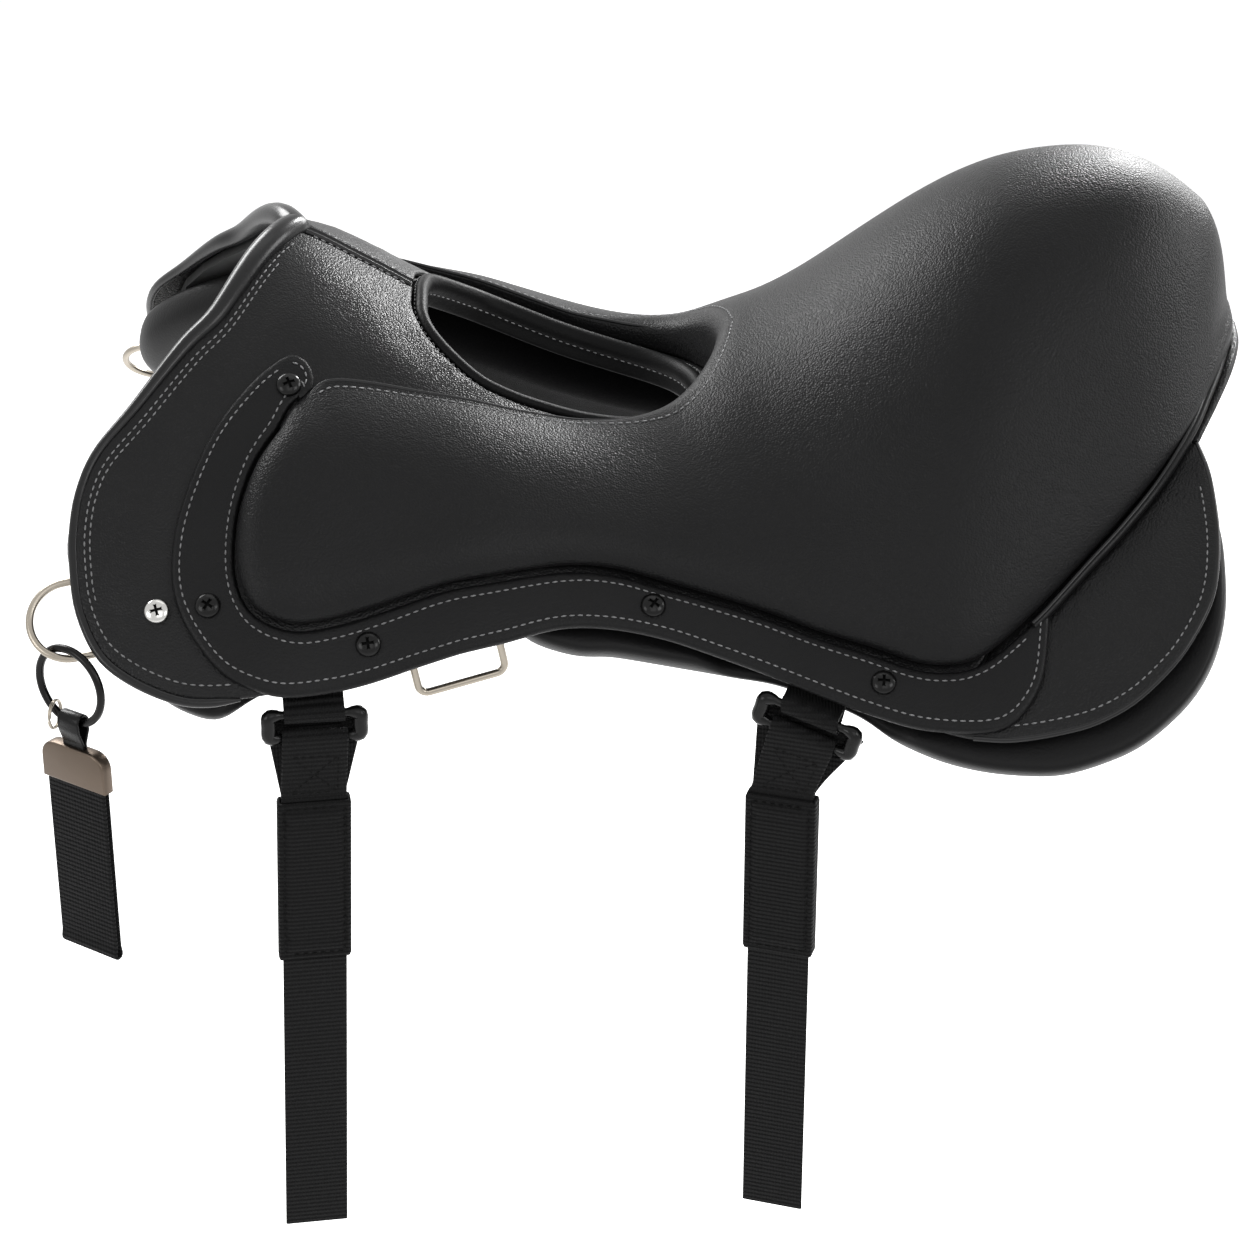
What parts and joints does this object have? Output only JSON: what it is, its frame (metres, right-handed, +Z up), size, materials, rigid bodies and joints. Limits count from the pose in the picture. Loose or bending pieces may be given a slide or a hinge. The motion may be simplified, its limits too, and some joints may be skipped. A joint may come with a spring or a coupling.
{
  "type": "endurance saddle",
  "caption": "Black leather riding saddle with a padded seat round a ventilation slot, flocked panels, screwed edge bands, rings, a key tag and hanging girth straps.",
  "frame": {"origin": "in the roof of the gullet under the tree, on the centre plane, below the seat's lowest stretch", "axes": "+X from the pommel to the cantle, +Y to the right (far) side, +Z up"},
  "size_m": [0.5616, 0.3784, 0.4783],
  "materials": {
    "tree": "moulded, matt",
    "steel": "plain steel",
    "seat_leather": "black fine grain, satin",
    "foam": "open foam",
    "flock": "flocking",
    "welt_leather": "black, glossy",
    "panel_leather": "black, soft",
    "strap_leather": "black, satin",
    "black_screw": "black, glossy",
    "chrome": "polished",
    "buckle": "black, glossy",
    "clamp": "dark nickel, satin",
    "black_ring": "black nickel, satin",
    "nickel": "warm nickel, satin",
    "webbing": "black woven webbing",
    "skirt_leather": "black fine grain, satin"
  },
  "bodies": {
    "saddle": {"centre_strip": "welt_leather", "dee_chape_left": "strap_leather", "dee_chape_right": "strap_leather", "front_skirt_left": "skirt_leather", "front_skirt_right": "skirt_leather", "front_welt": "welt_leather", "girth_chape_front_left": "webbing", "girth_chape_front_right": "webbing", "girth_chape_rear_left": "webbing", "girth_chape_rear_right": "webbing", "gullet_plate": "steel", "panel_cover_left": "panel_leather", "panel_cover_right": "panel_leather", "panel_foam_left": "flock", "panel_foam_right": "flock", "point_screw_left": "chrome", "point_screw_right": "chrome", "rail_left": "skirt_leather", "rail_right": "skirt_leather", "rail_screw_left_1": "black_screw", "rail_screw_left_2": "black_screw", "rail_screw_left_3": "black_screw", "rail_screw_left_4": "black_screw", "rail_screw_left_5": "black_screw", "rail_screw_right_1": "black_screw", "rail_screw_right_2": "black_screw", "rail_screw_right_3": "black_screw", "rail_screw_right_4": "black_screw", "rail_screw_right_5": "black_screw", "rear_skirt_left": "skirt_leather", "rear_skirt_right": "skirt_leather", "seat_base": "skirt_leather", "seat_cover": "seat_leather", "seat_foam": "foam", "seat_welt": "welt_leather", "slot_lining": "strap_leather", "stirrup_tab_left": "webbing", "stirrup_tab_right": "webbing", "tree": "tree"},
    "girth_front_left": {"girth_buckle_front_left": "buckle", "girth_strap_front_left": "webbing", "girth_sleeve_front_left": "webbing"},
    "girth_front_right": {"girth_buckle_front_right": "buckle", "girth_strap_front_right": "webbing", "girth_sleeve_front_right": "webbing"},
    "girth_rear_left": {"girth_buckle_rear_left": "buckle", "girth_strap_rear_left": "webbing", "girth_sleeve_rear_left": "webbing"},
    "girth_rear_right": {"girth_buckle_rear_right": "buckle", "girth_strap_rear_right": "webbing", "girth_sleeve_rear_right": "webbing"},
    "stirrup_ring_left": {"stirrup_ring_left": "nickel"},
    "stirrup_ring_right": {"stirrup_ring_right": "nickel"},
    "dee_left": {"dee_left": "nickel"},
    "dee_right": {"dee_right": "nickel"},
    "o_ring": {"o_ring": "black_ring"},
    "key_tag": {"tag_loop": "strap_leather", "tag_clamp": "clamp", "tag_strap": "webbing"},
    "split_ring": {"split_ring": "nickel"}
  },
  "joints": [
    {"name": "girth_front_left_swing", "type": "hinge", "parent": "saddle", "child": "girth_front_left", "pos_m": [-0.13918, -0.17636, -0.0653], "axis": [-0.9875, -0.1559, 0.0216], "range_deg": [-8, 60]},
    {"name": "girth_front_right_swing", "type": "hinge", "parent": "saddle", "child": "girth_front_right", "pos_m": [-0.13918, 0.17636, -0.0653], "axis": [0.9875, -0.1559, -0.0216], "range_deg": [-8, 60]},
    {"name": "girth_rear_left_swing", "type": "hinge", "parent": "saddle", "child": "girth_rear_left", "pos_m": [0.08231, -0.16784, -0.07051], "axis": [-0.9156, 0.2855, 0.2831], "range_deg": [-8, 60]},
    {"name": "girth_rear_right_swing", "type": "hinge", "parent": "saddle", "child": "girth_rear_right", "pos_m": [0.08231, 0.16784, -0.07051], "axis": [0.9156, 0.2855, -0.2831], "range_deg": [-8, 60]},
    {"name": "stirrup_ring_left_swing", "type": "hinge", "parent": "saddle", "child": "stirrup_ring_left", "pos_m": [-0.07753, -0.15175, -0.04401], "axis": [-0.9578, -0.2125, -0.1933], "range_deg": [-12, 50]},
    {"name": "stirrup_ring_right_swing", "type": "hinge", "parent": "saddle", "child": "stirrup_ring_right", "pos_m": [-0.07753, 0.15175, -0.04401], "axis": [0.9578, -0.2125, 0.1933], "range_deg": [-12, 50]},
    {"name": "dee_left_tilt", "type": "hinge", "parent": "saddle", "child": "dee_left", "pos_m": [-0.23655, -0.15357, -0.02723], "axis": [-0.2203, 0.6494, 0.7279], "range_deg": [-10, 8]},
    {"name": "dee_right_tilt", "type": "hinge", "parent": "saddle", "child": "dee_right", "pos_m": [-0.23655, 0.15357, -0.02723], "axis": [0.2203, 0.6494, -0.7279], "range_deg": [-10, 8]},
    {"name": "o_ring_swing", "type": "hinge", "parent": "dee_left", "child": "o_ring", "pos_m": [-0.24858, -0.16731, -0.04238], "axis": [-0.9999, -0.0132, 0], "range_deg": [-4, 35]},
    {"name": "key_tag_swing", "type": "hinge", "parent": "o_ring", "child": "key_tag", "pos_m": [-0.24858, -0.16731, -0.07438], "axis": [-0.829, 0.5592, 0], "range_deg": [-12, 25]},
    {"name": "split_ring_swing", "type": "hinge", "parent": "o_ring", "child": "split_ring", "pos_m": [-0.2577, -0.16115, -0.07071], "axis": [-0.9703, 0.2419, 0], "range_deg": [-10, 10]}
  ]
}
